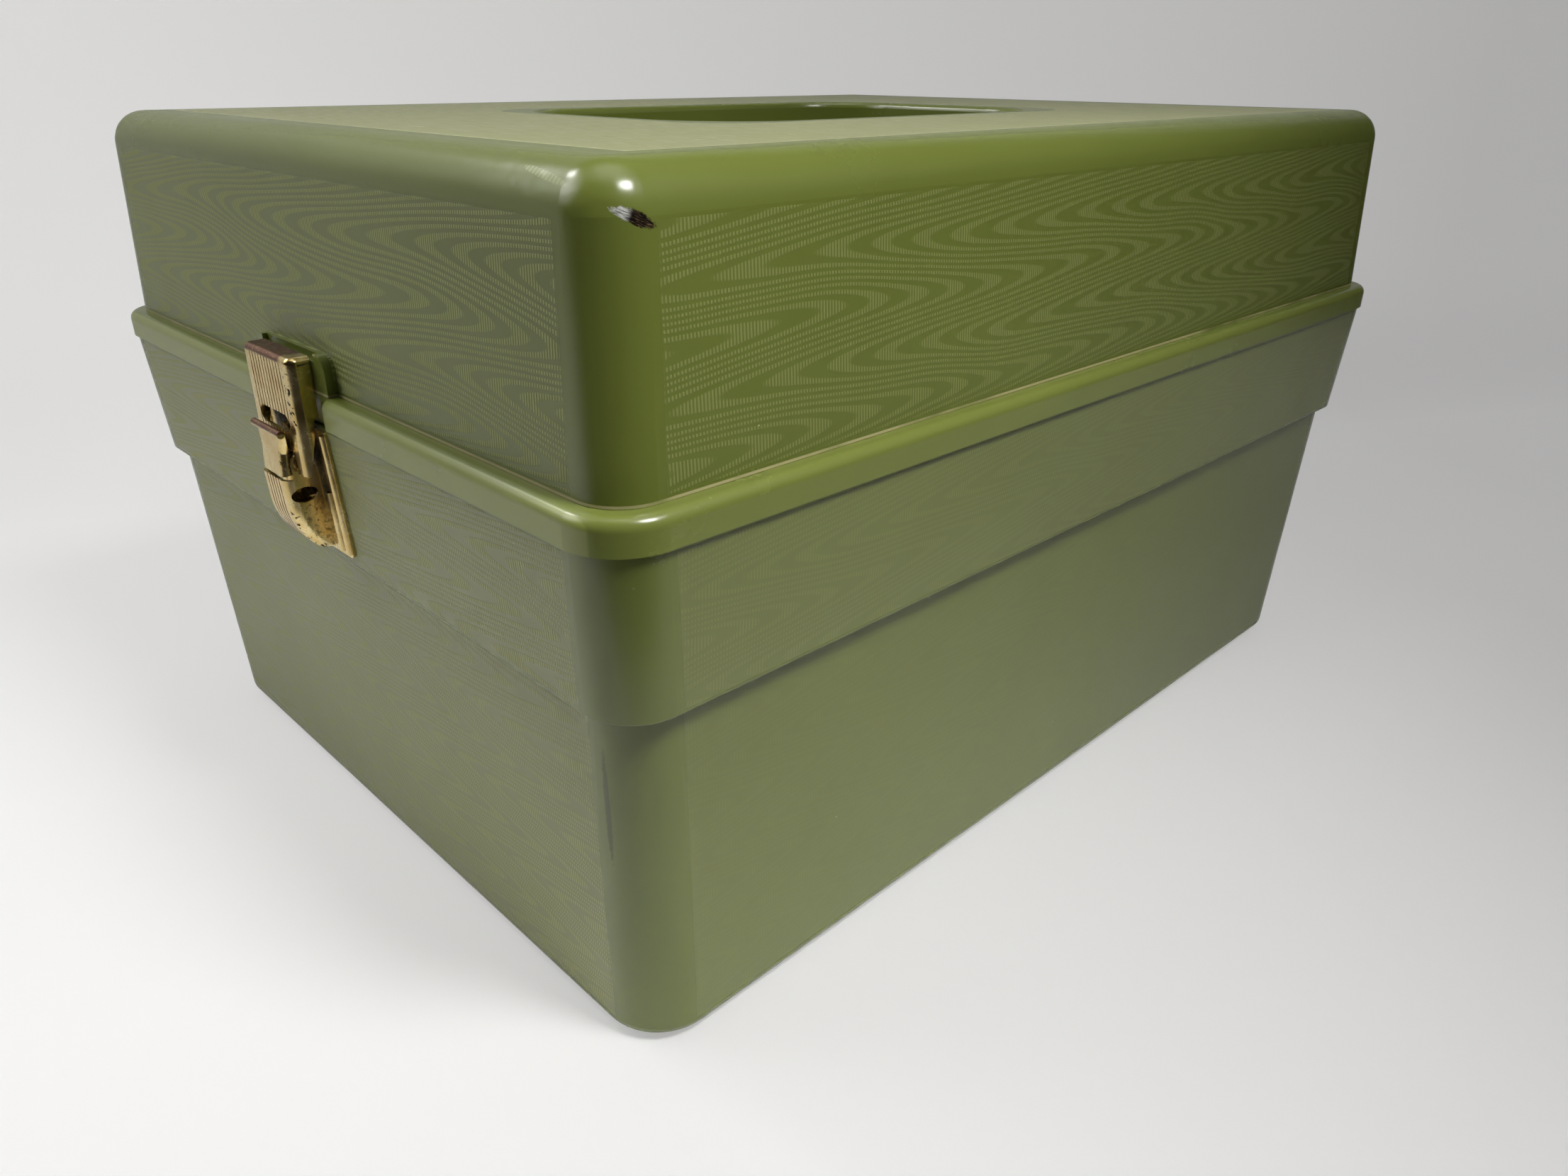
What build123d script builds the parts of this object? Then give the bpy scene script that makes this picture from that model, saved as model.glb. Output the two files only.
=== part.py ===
"""Plastic sewing box: a two-shell moulded case with a draw latch, butt hinges, a bail handle and two trays.

Millimetres, +Z up. The origin is the centre of the base's underside.
The front, with the latch, faces -Y, and the box is longest along Y.
"""
from build123d import *
import math
import os

# How far a cutting tool runs past the face it cuts
cut_past = 1.0

# Case, measured at the lid's rim
case_width = 266.5
case_length = 350.0
shell_wall = 2.5
rim_corner_radius = 14.0
foot_height = 1.5
foot_inset = 5.0

# Base shell
shoulder_height = 132.1
band_height = 37.3
body_inset_bottom = 8.8
body_inset_top = 6.2
body_corner_bottom = 16.0
body_corner_top = 12.0
body_bottom_fillet = 3.0
band_inset_bottom = 3.2
band_inset_top = 1.0
band_corner_radius = 13.0
band_edge_fillet = 0.5

# Locating tongue on the base, inside the lid's skirt
tongue_height = 4.7
tongue_thickness = 2.1
tongue_clearance = 0.3

# Lid shell
parting_gap = 0.4
rim_height = 7.5
rim_fillet = 2.6
skirt_thickness = 2.2
lid_height = 58.7
lid_inset_bottom = 4.35
lid_inset_top = 6.85
lid_corner_radius = 10.5
lid_top_fillet = 9.5

# Tab behind the latch
tab_half_width = 20.0
tab_height = 17.3
tab_inset = 2.0
tab_corner_radius = 4.0
catch_depth = 1.2
catch_height = 2.4
catch_half_width = 15.0

# Handle recess in the lid's top
recess_width = 102.0
recess_length = 150.0
recess_depth = 18.0
recess_corner_radius = 27.0
recess_draft = 1.5
recess_edge_fillet = 2.0

# Carry handle
handle_thickness = 10.0
handle_clearance = 2.5
handle_grip_width = 17.0
handle_leg_width = 13.0
handle_rest_gap = 0.4
handle_edge_fillet = 3.0
handle_end_round = 4.9
handle_inner_corner = 12.5
handle_running_clearance = 0.05
handle_end_clearance = 1.5
handle_pin_radius = 2.5
handle_pin_head_radius = 4.5
handle_pin_head_height = 1.5
handle_pin_reach = 9.0

# Sheet metal of the latch
latch_sheet = 0.8
latch_running_clearance = 0.05

# Latch backplate and its housing, measured down from the shoulder and out from the band
backplate_half_width = 18.0
backplate_top_drop = 0.7
backplate_bottom_drop = 34.6
backplate_corner_radius = 1.5
ridge_radius = 1.1
ridge_sink = 0.3
ridge_end_gap = 1.0
long_ridge_x = 16.2
short_ridge_x = 12.4
short_ridge_top_drop = 17.5
housing_half_width = 7.6
housing_depth = 9.2
housing_bend = 2.4
housing_belly_drop = 21.0
housing_foot_drop = 33.6
housing_foot_depth = 4.0
housing_window_drop = 18.1
housing_window_out = 5.1
housing_window_length = 6.6
housing_window_height = 4.0
housing_groove_count = 5
housing_groove_pitch = 1.75
groove_width = 0.5
groove_depth = 0.25

# Latch lever
lever_pivot_drop = 9.8
lever_pivot_out = 4.5
lever_half_width = 6.3
lever_top_half_width = 8.2
lever_taper_drop = 7.2
lever_top_drop = 1.6
lever_top_out = 7.4
lever_heel_out = 8.9
lever_heel = 3.0
lever_bend = 1.5
lever_sweep_clearance = 0.15
lever_lip_radius = 0.95
lever_lip_sink = 0.1
lever_eye_radius = 1.6
lever_neck_gap = 0.7
stud_radius = 0.8
stud_head_radius = 1.5
stud_head_height = 0.6
ear_radius = 2.2

# Latch hook
hook_pin_out_of_pivot = 0.8
hook_pin_below_pivot = 1.95
hook_pin_radius = 0.5
hook_pin_head_radius = 0.8
hook_pin_head_height = 0.3
hook_curl_radius = 1.1
hook_half_width = 13.8
hook_tail_half_width = 5.0
hook_plate_rise = 5.2
hook_height = 29.0
hook_bend = 2.4
hook_top_bend = 1.5
hook_seam = 0.4
hook_toe_drop = 0.3
hook_lip_clearance = 0.35
hook_flange_clearance = 0.6
hook_heel_clearance = 0.45
hook_swing_room = 2.6
hook_shoulder_step = 1.0
hook_rim_step = 0.8
hook_rim_slope = 1.2
hook_slot_half_width = 8.6
hook_slot_height = 4.4
hook_groove_count = 11
hook_groove_pitch = 1.75

# Rivets
rivet_radius = 1.6
rivet_head_radius = 2.8
rivet_head_height = 0.7
rivet_clearance = 0.05
rivet_lean_share = 1.6
rivet_spread = 5.5
rivet_upper_drop = 5.6
rivet_lower_drop = 24.5

# Butt hinges at the rear
hinge_offset = 72.0
hinge_leaf_width = 38.0
hinge_leaf_height = 17.0
hinge_sheet = 0.9
hinge_barrel_radius = 2.2
hinge_pin_radius = 1.1
hinge_pin_clearance = 0.05
hinge_barrel_gap = 0.3
hinge_knuckle_gap = 0.3
hinge_notch_clearance = 0.5
hinge_centre_knuckle = 13.0
hinge_pin_head_radius = 1.8
hinge_pin_head_height = 0.8
hinge_rivet_spread = 11.0
hinge_rivet_drop = 10.5
hinge_root_overlap = 0.5
pad_margin = 2.5
pad_corner_radius = 3.0

# Trays
tray_clearance = 1.4
tray_wall = 2.0
tray_floor = 2.0
tray_divider = 1.6
tray_draft = 0.4
lower_tray_height = 30.0
tray_rim_width = 3.4
tray_rim_thickness = 2.0
lower_tray_columns = 2
lower_tray_rows = 3
tray_divider_drop = 4.0
upper_tray_height = 22.0
upper_tray_inset = 9.6
upper_foot_flange = 1.4
upper_foot_thickness = 1.6
peg_radius = 3.0
peg_tip_radius = 2.2
peg_tip_height = 1.2
peg_height = 34.0
peg_sink = 0.3
peg_pitch_along = 40.0
peg_pitch_across = 32.0
peg_rows = 7
peg_columns = 2
peg_side_margin = 17.0

# Sizes worked out from the ones above
half_width = case_width / 2
half_length = case_length / 2
step_height = shoulder_height - band_height
band_tilt = math.degrees(math.atan((band_inset_bottom - band_inset_top) / (shoulder_height - step_height)))
rim_bottom = shoulder_height + parting_gap
rim_top = rim_bottom + rim_height
flange_underside = rim_top - shell_wall
lid_top = rim_top + lid_height
floor_top = foot_height + shell_wall
ledge_height = step_height + shell_wall
tongue_top = shoulder_height + tongue_height
tongue_inset = skirt_thickness + tongue_clearance
tongue_inner_inset = tongue_inset + tongue_thickness
band_inner_inset = band_inset_bottom + shell_wall
tray_corner_radius = band_corner_radius - shell_wall
tab_face = -(half_length - tab_inset)
recess_floor = lid_top - recess_depth
tub_underside = recess_floor - shell_wall
handle_axis_height = recess_floor + handle_rest_gap + handle_thickness / 2
hinge_axis_y = half_length + hinge_barrel_gap + hinge_barrel_radius
hinge_axis_z = shoulder_height + parting_gap / 2


def block(x_range, y_range, z_range):
    """Box between two values on each axis."""
    size = [high - low for low, high in (x_range, y_range, z_range)]
    centre = [(high + low) / 2 for low, high in (x_range, y_range, z_range)]
    return Pos(*centre) * Box(*size)


def plan(inset, corner_radius, height):
    """Rounded outline of the case at one height, stepped in from the rim."""
    outline = RectangleRounded(case_width - 2 * inset, case_length - 2 * inset, corner_radius)
    return Pos(0, 0, height) * outline


def shell_block(lower, upper):
    """Solid between two outlines, each given as inset, corner radius and height."""
    return loft([plan(*lower), plan(*upper)], ruled=True)


def ring_block(inset, corner_radius, z_range):
    """Straight rounded block stepped in from the rim."""
    return extrude(plan(inset, corner_radius, z_range[0]), z_range[1] - z_range[0])


def across(face, x_range):
    """Side profile, drawn as depth and height, extruded from one x to another."""
    return Pos(x_range[0], 0, 0) * extrude(Plane.YZ * face, x_range[1] - x_range[0])


def pin_along_x(radius, x_range, y, z):
    """Round bar along X."""
    bar = Cylinder(radius, x_range[1] - x_range[0], align=(Align.CENTER, Align.CENTER, Align.MIN))
    return Pos(x_range[0], y, z) * Rot(0, 90, 0) * bar


def pin_along_y(radius, y_range, x, z):
    """Round bar along Y."""
    bar = Cylinder(radius, y_range[1] - y_range[0], align=(Align.CENTER, Align.CENTER, Align.MIN))
    return Pos(x, y_range[0], z) * Rot(-90, 0, 0) * bar


def top_edges(solid):
    return solid.edges().group_by(Axis.Z)[-1]


def bottom_edges(solid):
    return solid.edges().group_by(Axis.Z)[0]


def latch_place(solid):
    """Set a latch piece, drawn from the shoulder's front edge, on the sloping band."""
    return Pos(0, -(half_length - band_inset_top), shoulder_height) * Rot(band_tilt, 0, 0) * solid


def latch_point(out, drop):
    """Depth and height in the case of a point given out from the band and down from the shoulder."""
    tilt = math.radians(band_tilt)
    y = -(half_length - band_inset_top) - out * math.cos(tilt) + drop * math.sin(tilt)
    z = shoulder_height - out * math.sin(tilt) - drop * math.cos(tilt)
    return y, z


latch_rivet_spots = [
    (-rivet_spread, rivet_upper_drop),
    (rivet_spread, rivet_upper_drop),
    (0.0, rivet_lower_drop),
]
hinge_centres = {"left": -hinge_offset, "right": hinge_offset}
hook_pivot = latch_point(lever_pivot_out + hook_pin_out_of_pivot, lever_pivot_drop + hook_pin_below_pivot)


def hinge_pad(centre, z_range, wall_inset):
    """Flat moulded seat for one hinge leaf, flush with the rim."""
    half = hinge_leaf_width / 2 + pad_margin
    pad = block((centre - half, centre + half), (half_length - wall_inset, half_length), z_range)
    corners = pad.edges().filter_by(Axis.Y)
    outer = corners.group_by(Axis.Z)[-1 if z_range[1] > rim_top else 0]
    return fillet(outer, pad_corner_radius)


def hinge_rivet_spots(centre, side):
    """Places of one leaf's rivets; side is 1 for the lid's leaf and -1 for the base's."""
    z = hinge_axis_z + side * hinge_rivet_drop
    return [(centre + sign * hinge_rivet_spread, z) for sign in (-1, 1)]


def make_base_shell():
    body = shell_block(
        (body_inset_bottom, body_corner_bottom, foot_height),
        (body_inset_top, body_corner_top, step_height),
    )
    body = fillet(bottom_edges(body), body_bottom_fillet)
    band = shell_block(
        (band_inset_bottom, band_corner_radius, step_height),
        (band_inset_top, band_corner_radius, shoulder_height),
    )
    band = fillet(bottom_edges(band), band_edge_fillet)
    foot_outer = body_inset_bottom + foot_inset
    foot_corner = body_corner_bottom - foot_inset
    foot = ring_block(foot_outer, foot_corner, (0, floor_top))
    foot_hollow = ring_block(foot_outer + shell_wall, foot_corner - shell_wall, (shell_wall, floor_top))
    tongue_root = shoulder_height - tongue_height
    tongue = ring_block(tongue_inset, band_corner_radius - tongue_clearance, (tongue_root, tongue_top))
    pads = [
        hinge_pad(x, (hinge_axis_z - hinge_leaf_height - pad_margin, shoulder_height), shell_wall)
        for x in hinge_centres.values()
    ]
    solid = body + band + foot + tongue + pads
    solid -= shell_block(
        (body_inset_bottom + shell_wall, body_corner_bottom - shell_wall, floor_top),
        (body_inset_top + shell_wall, body_corner_top - shell_wall, ledge_height),
    )
    solid -= shell_block(
        (band_inner_inset, band_corner_radius - shell_wall, ledge_height),
        (tongue_inner_inset, band_corner_radius - shell_wall, tongue_top),
    )
    solid -= foot_hollow
    notch = tab_half_width + shell_wall
    front = -half_length
    notch_depth = (front, front + tongue_inner_inset + shell_wall)
    solid -= block((-notch, notch), notch_depth, (shoulder_height, tongue_top))
    for x, drop in latch_rivet_spots:
        solid -= latch_place(Pos(x, 0, -drop) * latch_rivet_hole())
    for centre in hinge_centres.values():
        for x, z in hinge_rivet_spots(centre, -1):
            y_range = (half_length - band_inner_inset - shell_wall, half_length + cut_past)
            solid -= pin_along_y(rivet_radius + rivet_clearance, y_range, x, z)
    return solid


def latch_rivet_hole():
    """Clearance hole for one latch rivet, square to the band."""
    reach = band_inner_inset + 2 * shell_wall
    return pin_along_y(rivet_radius + rivet_clearance, (-reach, reach), 0, 0)


def make_lid_shell():
    lid = shell_block(
        (lid_inset_bottom, lid_corner_radius, flange_underside),
        (lid_inset_top, lid_corner_radius, lid_top),
    )
    lid = fillet(top_edges(lid), lid_top_fillet)
    rim = ring_block(0, rim_corner_radius, (rim_bottom, rim_top))
    rim = fillet(top_edges(rim), rim_fillet)
    front = -half_length
    tab_top = rim_bottom + tab_height
    tab = block((-tab_half_width, tab_half_width), (tab_face, front + lid_inset_top), (rim_bottom, tab_top))
    tab = fillet(tab.edges().filter_by(Axis.Y).group_by(Axis.Z)[-1], tab_corner_radius)
    pads = [
        hinge_pad(x, (rim_bottom, hinge_axis_z + hinge_leaf_height + pad_margin), lid_inset_top)
        for x in hinge_centres.values()
    ]
    rim -= block((-tab_half_width, tab_half_width), (front - cut_past, tab_face), (rim_bottom, rim_top))
    solid = lid + rim + tab + pads

    inner_corner = lid_corner_radius - shell_wall
    cavity = shell_block(
        (lid_inset_bottom + shell_wall, inner_corner, rim_bottom),
        (lid_inset_top + shell_wall, inner_corner, lid_top - shell_wall),
    )
    cavity = fillet(top_edges(cavity), lid_top_fillet - shell_wall)
    skirt_room = ring_block(
        skirt_thickness, rim_corner_radius - skirt_thickness, (rim_bottom, flange_underside))
    skirt_room -= block(
        (-tab_half_width, tab_half_width),
        (front, tab_face + shell_wall),
        (rim_bottom, flange_underside),
    )
    tub_length = recess_length / 2 + shell_wall
    cavity -= recess_block(shell_wall, (tub_underside, lid_top))
    solid -= cavity + skirt_room
    solid -= recess_block(0, (recess_floor, lid_top))
    solid = fillet(
        [edge for edge in top_edges(solid) if edge.bounding_box().size.Y <= recess_length + cut_past],
        recess_edge_fillet,
    )
    catch_top = hook_lip_top() + catch_height / 2
    solid -= block(
        (-catch_half_width, catch_half_width),
        (tab_face, tab_face + catch_depth),
        (catch_top - catch_height, catch_top),
    )
    for centre in hinge_centres.values():
        for x, z in hinge_rivet_spots(centre, 1):
            y_range = (half_length - lid_inset_top - 2 * shell_wall, half_length + cut_past)
            solid -= pin_along_y(rivet_radius + rivet_clearance, y_range, x, z)
    for sign in (-1, 1):
        reach = sorted((0, sign * (tub_length + shell_wall)))
        solid -= pin_along_y(handle_pin_radius, reach, 0, handle_axis_height)
    return solid


def recess_block(grow, z_range):
    """Tapered plug of the handle recess, grown all round by a wall."""
    taper = math.tan(math.radians(recess_draft))

    def outline(height):
        shrink = (lid_top - height) * taper
        outline_width = recess_width + 2 * (grow - shrink)
        outline_length = recess_length + 2 * (grow - shrink)
        corner = recess_corner_radius + grow
        return Pos(0, 0, height) * RectangleRounded(outline_width, outline_length, corner)

    return loft([outline(z_range[0]), outline(z_range[1])], ruled=True)


def make_carry_handle():
    """Bail that lies flat in the recess, turned about the recess's long centre line."""
    taper = recess_depth * math.tan(math.radians(recess_draft))
    outer_x = recess_width / 2 - taper - handle_clearance
    outer_y = recess_length / 2 - taper - handle_end_clearance
    inner_x = outer_x - handle_grip_width
    inner_y = outer_y - handle_leg_width
    boss = handle_thickness / 2
    corner = recess_corner_radius - handle_clearance
    outer = Pos((outer_x - boss) / 2, 0) * Rectangle(outer_x + boss, 2 * outer_y)
    outer = fillet(outer.vertices().group_by(Axis.X)[-1], corner)
    inner = Pos((inner_x - boss) / 2 - cut_past, 0) * Rectangle(inner_x + boss + 2 * cut_past, 2 * inner_y)
    inner = fillet(inner.vertices().group_by(Axis.X)[-1], handle_inner_corner)
    bar = extrude(outer - inner, handle_thickness / 2, both=True)
    ends = bar.edges().filter_by(Axis.Y).group_by(Axis.X)[0]
    bar = fillet(ends, handle_end_round)
    long_edges = [
        edge for edge in bar.edges()
        if abs(edge.center().Z) > handle_end_round and edge.center().X > 0
    ]
    bar = fillet(long_edges, handle_edge_fillet)
    solid = Pos(0, 0, handle_axis_height) * bar
    for y_range in ((-outer_y, -inner_y), (inner_y, outer_y)):
        reach = (y_range[0] - cut_past, y_range[1] + cut_past)
        solid -= pin_along_y(handle_pin_radius + handle_running_clearance, reach, 0, handle_axis_height)
    return solid


def make_handle_pin(sign):
    """Headed pin from inside the lid, through the tub's end wall into the handle's boss."""
    shrink = (lid_top - handle_axis_height) * math.tan(math.radians(recess_draft))
    wall_face = recess_length / 2 + shell_wall - shrink
    wall_face += handle_pin_head_radius * math.tan(math.radians(recess_draft))
    tip = wall_face - shell_wall - handle_pin_reach
    pin = pin_along_y(handle_pin_radius, (tip, wall_face), 0, handle_axis_height)
    head_range = (wall_face, wall_face + handle_pin_head_height)
    pin += pin_along_y(handle_pin_head_radius, head_range, 0, handle_axis_height)
    return pin if sign > 0 else mirror(pin, about=Plane.XZ)


def housing_lip_drop():
    """Drop of the housing's front edge, which the lever's heel swings past on its way in."""
    heel_radius = math.hypot(lever_heel_out - lever_pivot_out, lever_heel)
    inside = housing_depth - latch_sheet - lever_pivot_out
    return lever_pivot_drop + math.sqrt((heel_radius + lever_sweep_clearance) ** 2 - inside ** 2)


def housing_block(skin, back, top_drop):
    """Bulged block of the housing, drawn in all round by a skin, from its top down to its foot."""
    depth = housing_depth - skin
    foot_depth = housing_foot_depth - skin
    foot_drop = housing_foot_drop - skin
    half = housing_half_width - skin
    belly = Polyline((-depth, -top_drop), (-depth, -housing_belly_drop))
    curve = TangentArc((-depth, -housing_belly_drop), (-foot_depth, -foot_drop), tangent=(0, -1))
    rear = Polyline((-foot_depth, -foot_drop), (-back, -foot_drop), (-back, -top_drop), (-depth, -top_drop))
    solid = across(make_face(belly + curve + rear), (-half, half))
    bends = [
        edge for edge in solid.edges()
        if abs(edge.center().X) > half / 2
        and edge.center().Y < -foot_depth
        and -foot_drop < edge.center().Z < -top_drop - cut_past / 2
    ]
    return fillet(bends, housing_bend - skin)


def housing_groove(x):
    """Thin tool that follows the housing's front, for one pinstripe."""
    front = housing_block(0, latch_sheet, housing_lip_drop())
    deep = housing_block(groove_depth, 0, housing_lip_drop() - cut_past)
    strip = block(
        (x - groove_width / 2, x + groove_width / 2),
        (-housing_depth, -housing_foot_depth),
        (-housing_foot_drop, -housing_lip_drop()),
    )
    return (front - deep) & strip


def make_latch_backplate():
    half = backplate_half_width
    plate = block((-half, half), (-latch_sheet, 0), (-backplate_bottom_drop, -backplate_top_drop))
    plate = fillet(plate.edges().filter_by(Axis.Y), backplate_corner_radius)
    low = -backplate_bottom_drop + ridge_end_gap
    long_ridge_top = -backplate_top_drop - ridge_end_gap
    for x, top in ((long_ridge_x, long_ridge_top), (short_ridge_x, -short_ridge_top_drop)):
        for sign in (-1, 1):
            ridge = Cylinder(ridge_radius, top - low)
            plate += Pos(sign * x, -latch_sheet + ridge_sink, (top + low) / 2) * ridge
    plate -= block((-half, half), (0, ridge_radius), (-backplate_bottom_drop, 0))

    skin = latch_sheet / 2
    lip_drop = housing_lip_drop()
    cheek = make_face(Polyline(
        (housing_bend - housing_depth, -lip_drop - cut_past),
        (housing_bend - housing_depth, -lip_drop),
        (-lever_pivot_out - ear_radius, -lever_pivot_drop),
        (-lever_pivot_out + ear_radius, -lever_pivot_drop),
        (-skin, -lever_pivot_drop - ear_radius),
        (-skin, -lip_drop - cut_past),
        close=True,
    ))
    ear = Pos(-lever_pivot_out, -lever_pivot_drop) * Circle(ear_radius)
    housing_inside = housing_half_width - latch_sheet
    housing = housing_block(0, skin, lip_drop)
    housing -= housing_block(latch_sheet, latch_sheet, lip_drop - cut_past)
    for low, high in ((-housing_half_width, -housing_inside), (housing_inside, housing_half_width)):
        housing += across(cheek + ear, (low, high))
    first = -housing_groove_pitch * (housing_groove_count - 1) / 2
    for index in range(housing_groove_count):
        housing -= housing_groove(first + index * housing_groove_pitch)
    solid = plate + housing
    reach = (-housing_half_width - cut_past, housing_half_width + cut_past)
    window = Pos(-housing_window_out, -housing_window_drop) * Ellipse(
        housing_window_length / 2, housing_window_height / 2)
    solid -= across(window, reach)
    solid -= pin_along_x(stud_radius, reach, -lever_pivot_out, -lever_pivot_drop)
    for x, drop in latch_rivet_spots:
        hole = (-latch_sheet - cut_past, cut_past)
        solid -= pin_along_y(rivet_radius + rivet_clearance, hole, x, -drop)
    return latch_place(solid)


def lever_outline(skin, past):
    """Front outline of the lever, drawn in by a skin: wide at the lip, then tapered in between the cheeks."""
    wide = lever_top_half_width - skin
    narrow = lever_half_width - skin
    top = -lever_top_drop + past
    heel = -lever_pivot_drop - lever_heel - past
    points = [
        (-wide, top), (wide, top), (narrow, -lever_taper_drop),
        (narrow, heel), (-narrow, heel), (-narrow, -lever_taper_drop),
    ]
    return extrude(Plane.XZ * make_face(Polyline(*points, close=True)), 2 * lever_heel_out, both=True)


def make_latch_lever():
    top = -lever_top_drop
    heel = -lever_pivot_drop - lever_heel
    pin_out = lever_pivot_out + hook_pin_out_of_pivot
    pin_drop = lever_pivot_drop + hook_pin_below_pivot
    side = make_face(Polyline(
        (-lever_heel_out, heel),
        (-lever_top_out, top),
        (-lever_top_out + latch_sheet, top),
        (-pin_out - lever_neck_gap, hook_plate_rise - pin_drop - lever_neck_gap),
        (-lever_pivot_out + lever_eye_radius, -lever_pivot_drop),
        (-pin_out + lever_eye_radius, -pin_drop),
        (-pin_out, heel),
        close=True,
    ))
    side += Pos(-lever_pivot_out, -lever_pivot_drop) * Circle(lever_eye_radius)
    side += Pos(-pin_out, -pin_drop) * Circle(lever_eye_radius)
    hollow = make_face(Polyline(
        (-lever_heel_out + latch_sheet, heel),
        (-lever_top_out + latch_sheet, top),
        (-lever_top_out + latch_sheet, top + cut_past),
        (0, top + cut_past),
        (0, heel - ear_radius),
        (-lever_heel_out + latch_sheet, heel - ear_radius),
        close=True,
    ))
    reach = (-lever_top_half_width - cut_past, lever_top_half_width + cut_past)
    solid = across(side, reach) & lever_outline(0, 0)
    bends = [
        edge for edge in solid.edges()
        if abs(edge.center().X) > lever_half_width / 2 and edge.center().Y < -lever_top_out
    ]
    solid = fillet(bends, lever_bend)
    solid -= across(hollow, reach) & lever_outline(latch_sheet, ear_radius)
    lip = (-lever_top_half_width, lever_top_half_width)
    solid += pin_along_x(lever_lip_radius, lip, -lever_top_out - lever_lip_sink, top)
    solid -= pin_along_x(stud_radius + latch_running_clearance, reach, -lever_pivot_out, -lever_pivot_drop)
    solid -= pin_along_x(hook_pin_radius, reach, -pin_out, -pin_drop)
    return latch_place(solid)


def make_latch_pivot_studs():
    """Two short headed studs, one in each cheek of the housing."""
    inner_end = lever_half_width - latch_sheet
    studs = []
    for sign in (-1, 1):
        shank = sorted((sign * inner_end, sign * housing_half_width))
        head = sorted((sign * housing_half_width, sign * (housing_half_width + stud_head_height)))
        stud = pin_along_x(stud_radius, shank, -lever_pivot_out, -lever_pivot_drop)
        stud += pin_along_x(stud_head_radius, head, -lever_pivot_out, -lever_pivot_drop)
        studs.append(latch_place(stud))
    return Compound(children=studs)


def make_latch_hook_pin():
    pin_out = lever_pivot_out + hook_pin_out_of_pivot
    pin_drop = lever_pivot_drop + hook_pin_below_pivot
    end = lever_half_width + hook_pin_head_height
    pin = pin_along_x(hook_pin_radius, (-lever_half_width, lever_half_width), -pin_out, -pin_drop)
    pin += pin_along_x(hook_pin_head_radius, (-end, -lever_half_width), -pin_out, -pin_drop)
    pin += pin_along_x(hook_pin_head_radius, (lever_half_width, end), -pin_out, -pin_drop)
    return latch_place(pin)


def hook_lip_top():
    """Height of the hook's bent-back top lip."""
    return hook_pivot[1] + hook_height


def drawn_block(half_width, y_range, z_range, bend, top_bend):
    """Block with its two upright front edges rounded, and then its top edges, all but the rear one."""
    solid = block((-half_width, half_width), y_range, z_range)
    solid = fillet(solid.edges().filter_by(Axis.Z).group_by(Axis.Y)[0], bend)
    crown = [edge for edge in top_edges(solid) if edge.center().Y < y_range[1] - top_bend]
    return fillet(crown, top_bend)


def make_latch_hook():
    """Grooved channel plate with a bent-back top lip and a curled tail round the hook pin."""
    y, z = hook_pivot
    front = y - latch_sheet / 2
    back = y + latch_sheet / 2
    plate_bottom = z + hook_plate_rise
    top = hook_lip_top()
    toe = z - hook_toe_drop
    flange_back = tab_face - hook_flange_clearance
    lip_end = tab_face - hook_lip_clearance
    band_face = -(half_length - band_inset_top)
    plate_gap = band_face - latch_sheet - hook_heel_clearance

    outer = drawn_block(hook_half_width, (front, 0), (toe, top), hook_bend, hook_top_bend)
    inner = drawn_block(
        hook_half_width - latch_sheet,
        (front + latch_sheet, 0),
        (toe - cut_past, top - latch_sheet),
        hook_bend - latch_sheet,
        hook_top_bend - latch_sheet,
    )
    side = make_face(Polyline(
        (front - cut_past, toe),
        (plate_gap - hook_swing_room, toe),
        (plate_gap, shoulder_height - backplate_top_drop - hook_shoulder_step),
        (plate_gap, rim_bottom + hook_rim_step),
        (flange_back, rim_bottom + hook_rim_step + hook_rim_slope),
        (flange_back, top - latch_sheet),
        (lip_end, top - latch_sheet),
        (lip_end, top + cut_past),
        (front - cut_past, top + cut_past),
        close=True,
    ))
    channel = (outer - inner) & across(side, (-hook_half_width, hook_half_width))
    seam_top = top - hook_top_bend
    for sign in (-1, 1):
        reach = sorted((sign * (hook_half_width - latch_sheet), sign * hook_half_width))
        channel -= block(reach, (front + hook_bend, 0), (seam_top - hook_seam, seam_top))
    channel -= block(
        (-hook_slot_half_width, hook_slot_half_width),
        (front - cut_past, back + cut_past),
        (toe - cut_past, plate_bottom),
    )
    first = -hook_groove_pitch * (hook_groove_count - 1) / 2
    for index in range(hook_groove_count):
        groove = block(
            (-groove_width / 2, groove_width / 2),
            (front - cut_past, front + groove_depth),
            (plate_bottom, top - hook_top_bend),
        )
        channel -= Pos(first + index * hook_groove_pitch, 0, 0) * groove

    slot_low = latch_point(lever_top_out, lever_top_drop)[1]
    slot = Pos(0, slot_low + hook_slot_height / 2) * SlotOverall(2 * hook_slot_half_width, hook_slot_height)
    slot = extrude(Plane.XZ * slot, 2 * latch_sheet, both=True)
    channel -= Pos(0, y, 0) * slot
    curl_x = (-hook_tail_half_width, hook_tail_half_width)
    tail = block(curl_x, (front, back), (z, plate_bottom + cut_past))
    solid = channel + tail + pin_along_x(hook_curl_radius, curl_x, y, z)
    bore_x = (-hook_tail_half_width - cut_past, hook_tail_half_width + cut_past)
    solid -= pin_along_x(hook_pin_radius + latch_running_clearance, bore_x, y, z)
    return solid


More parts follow.
